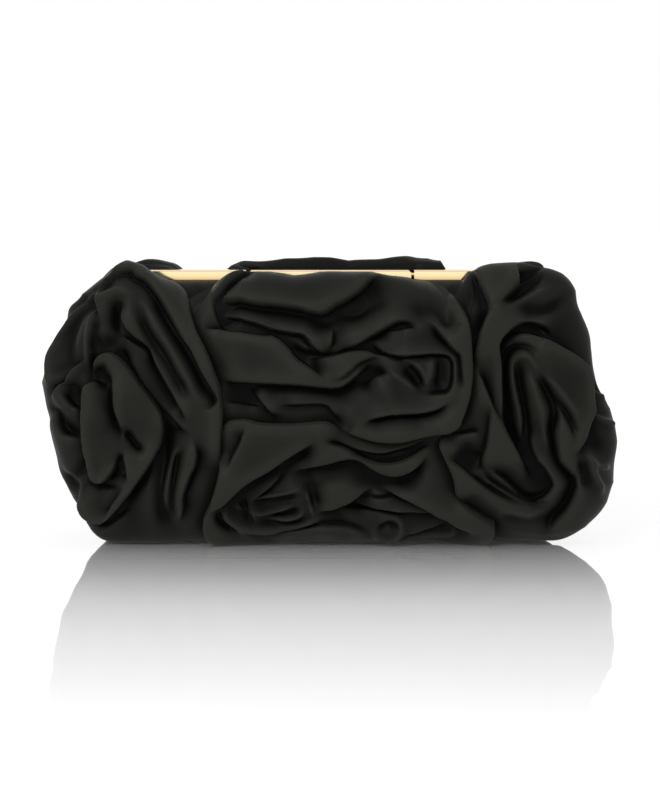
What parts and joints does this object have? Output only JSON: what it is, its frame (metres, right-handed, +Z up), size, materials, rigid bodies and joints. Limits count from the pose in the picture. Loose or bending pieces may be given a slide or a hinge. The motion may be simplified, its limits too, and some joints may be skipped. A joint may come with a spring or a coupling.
{
  "type": "evening clutch bag",
  "caption": "Rounded rectangular evening clutch covered in gathered black satin rosettes, with a polished gold box frame hinged at the bottom and a tilting top clasp bar.",
  "frame": {"origin": "middle of the bag in plan, on the surface that it stands on", "axes": "+X along the bag, +Y from the front face to the rear face, +Z up"},
  "size_m": [0.275, 0.08, 0.136],
  "materials": {
    "satin": "black duchesse satin, soft sheen",
    "wadding": "needled wadding",
    "shell_board": "moulded rigid shell",
    "lining_satin": "black lining satin",
    "gilt": "polished light gold plating",
    "gilt_fittings": "light gold plating",
    "spring_steel": "spring steel strip"
  },
  "bodies": {
    "rear_half": {"rear_frame": "gilt", "rear_shell": "shell_board", "rear_padding": "wadding", "rear_cover": "satin", "rear_rosette_left": "satin", "rear_rosette_upper": "satin", "rear_rosette_lower": "satin", "rear_rosette_right": "satin", "rear_lining": "lining_satin", "inner_pocket": "lining_satin", "pocket_trim": "lining_satin", "catch_plate": "gilt_fittings", "catch_rivets": "gilt_fittings", "rear_hinge_leaf_left": "gilt_fittings", "rear_hinge_leaf_right": "gilt_fittings", "hinge_pin_left": "gilt_fittings", "hinge_pin_right": "gilt_fittings", "rear_hinge_rivets": "gilt_fittings", "gusset_left": "lining_satin", "gusset_right": "lining_satin"},
    "front_half": {"front_frame": "gilt", "front_shell": "shell_board", "front_padding": "wadding", "front_cover": "satin", "front_rosette_left": "satin", "front_rosette_upper": "satin", "front_rosette_lower": "satin", "front_rosette_right": "satin", "front_lining": "lining_satin", "clasp_pivot_pins": "gilt_fittings", "front_hinge_leaf_left": "gilt_fittings", "front_hinge_leaf_right": "gilt_fittings", "front_hinge_rivets": "gilt_fittings"},
    "clasp": {"clasp_bar": "gilt", "spring_hook": "spring_steel", "hook_rivets": "gilt_fittings"}
  },
  "joints": [
    {"name": "main_hinge", "type": "hinge", "parent": "rear_half", "child": "front_half", "pos_m": [0, 0, 0.0065], "axis": [1, 0, 0], "range_deg": [0, 55], "deforming": ["gusset_left", "gusset_right", "spring_hook"]},
    {"name": "clasp_pivot", "type": "hinge", "parent": "front_half", "child": "clasp", "pos_m": [0, -0.0066, 0.1293], "axis": [1, 0, 0], "range_deg": [0, 45], "deforming": ["spring_hook"]}
  ]
}
